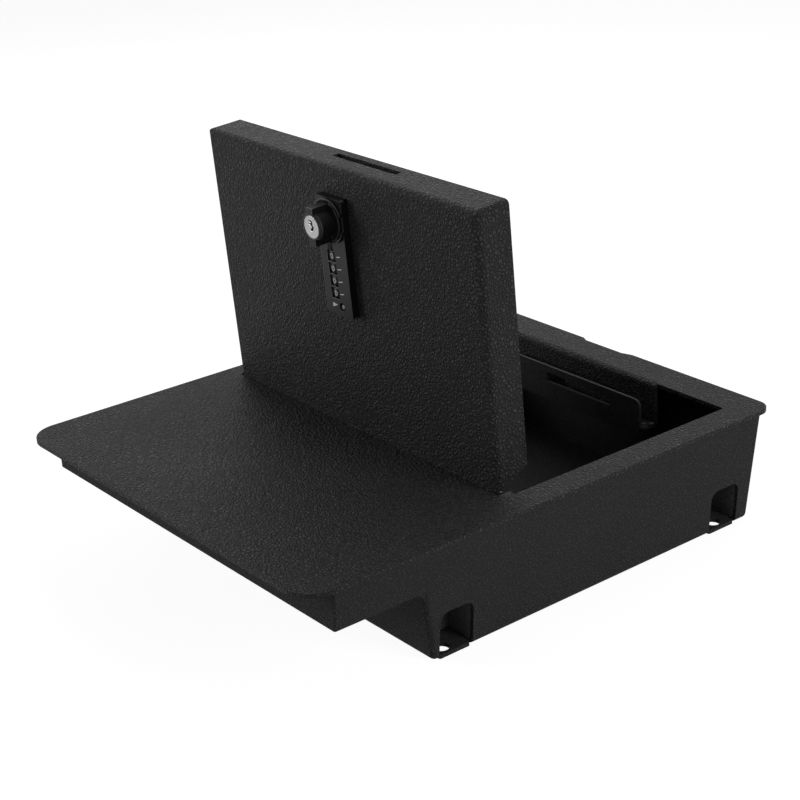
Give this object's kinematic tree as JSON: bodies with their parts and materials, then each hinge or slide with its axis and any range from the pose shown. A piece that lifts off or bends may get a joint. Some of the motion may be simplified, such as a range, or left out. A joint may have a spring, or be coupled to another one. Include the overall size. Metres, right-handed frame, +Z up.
{
  "type": "vehicle cash box",
  "caption": "Low steel cash box with a wide top plate, bolt-down feet and a recessed hinged lid with a combination lock.",
  "frame": {"origin": "centre of the box's footprint at floor level, with the lid open", "axes": "+X along the hinge to the right, +Y to the rear, +Z up; the top plate's free end is at the front"},
  "size_m": [0.3, 0.3734, 0.253],
  "materials": {
    "textured_coat": "pebbled matt powder coat",
    "inner_coat": "matt powder coat",
    "lock_black": "satin black",
    "dial_black": "moulded, white digits",
    "key_chrome": "polished",
    "zinc": "zinc plated",
    "spring_steel": "cold rolled"
  },
  "bodies": {
    "root": {"top_plate": "textured_coat", "body_shell": "textured_coat", "foot_pocket_front_left": "inner_coat", "foot_pocket_front_right": "inner_coat", "foot_pocket_rear_left": "inner_coat", "foot_pocket_rear_right": "inner_coat", "strike_bracket": "inner_coat", "hinge_fixed_leaf": "inner_coat", "hinge_pin": "spring_steel"},
    "lid": {"lid_pan": "textured_coat", "hinge_moving_leaf": "inner_coat", "lock_bezel": "lock_black", "lock_housing": "lock_black", "lock_screws": "zinc", "dial_shaft": "zinc", "dial_detent_spring": "spring_steel"},
    "knob": {"knob": "lock_black", "knob_spindle": "zinc", "cam": "zinc", "cam_screw": "zinc"},
    "key_core": {"key_core": "key_chrome"},
    "dial_1": {"dial_1": "dial_black"},
    "dial_2": {"dial_2": "dial_black"},
    "dial_3": {"dial_3": "dial_black"},
    "dial_4": {"dial_4": "dial_black"},
    "code_reset_button": {"code_reset_button": "zinc"}
  },
  "joints": [
    {"name": "lid_hinge", "type": "hinge", "parent": "root", "child": "lid", "pos_m": [0, -0.0239, 0.073], "axis": [1, 0, 0], "range_deg": [-94.15, 0]},
    {"name": "knob_turn", "type": "hinge", "parent": "lid", "child": "knob", "pos_m": [-0.0036, -0.03854, 0.21952], "axis": [0, -0.9974, -0.0724], "range_deg": [0, 90]},
    {"name": "key_turn", "type": "hinge", "parent": "knob", "child": "key_core", "pos_m": [-0.0036, -0.03854, 0.21952], "axis": [0, -0.9974, -0.0724], "range_deg": [0, 90]},
    {"name": "dial_1_turn", "type": "hinge", "parent": "lid", "child": "dial_1", "pos_m": [-0.006, -0.03506, 0.19637], "axis": [0, -0.0724, 0.9974], "continuous": true},
    {"name": "dial_2_turn", "type": "hinge", "parent": "lid", "child": "dial_2", "pos_m": [-0.006, -0.03447, 0.18832], "axis": [0, -0.0724, 0.9974], "continuous": true},
    {"name": "dial_3_turn", "type": "hinge", "parent": "lid", "child": "dial_3", "pos_m": [-0.006, -0.03389, 0.18027], "axis": [0, -0.0724, 0.9974], "continuous": true},
    {"name": "dial_4_turn", "type": "hinge", "parent": "lid", "child": "dial_4", "pos_m": [-0.006, -0.03331, 0.17222], "axis": [0, -0.0724, 0.9974], "continuous": true},
    {"name": "code_reset_press", "type": "slide", "parent": "lid", "child": "code_reset_button", "axis": [0, 0.9974, 0.0724], "range_m": [0, 0.0012], "stiffness_N_per_m": 150}
  ]
}
